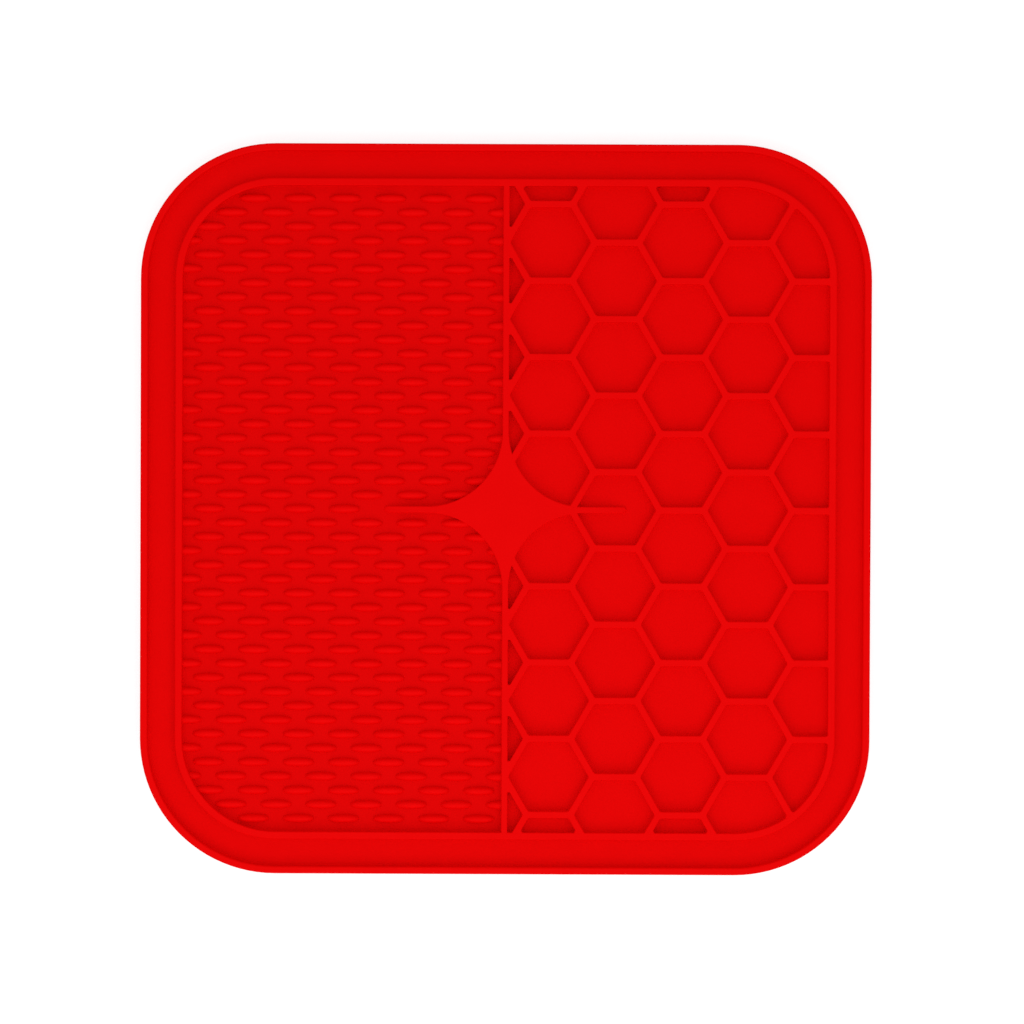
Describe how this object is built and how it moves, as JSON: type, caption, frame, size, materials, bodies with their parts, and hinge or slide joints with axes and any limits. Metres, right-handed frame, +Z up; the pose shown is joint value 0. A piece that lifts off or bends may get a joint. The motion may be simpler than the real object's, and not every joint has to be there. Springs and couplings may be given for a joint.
{
  "type": "lick mat",
  "caption": "Square silicone lick mat with a raised rim, a spill channel, a field of oblong nubs, a honeycomb field, a four-pointed star between them and suction cups underneath.",
  "frame": {"origin": "centre of the mat on the plane that the suction cups' lips rest on", "axes": "+Z up out of the licking side, +X from the nub field towards the honeycomb, +Y along the divider"},
  "size_m": [0.2, 0.2, 0.009],
  "materials": {
    "silicone": "matte red silicone with a very fine grain"
  },
  "bodies": {
    "root": {"base_sheet": "silicone", "outer_rim": "silicone", "border_wall": "silicone", "centre_divider": "silicone", "centre_star": "silicone", "honeycomb_ribs": "silicone", "lick_nubs": "silicone", "suction_cups": "silicone"}
  },
  "joints": []
}
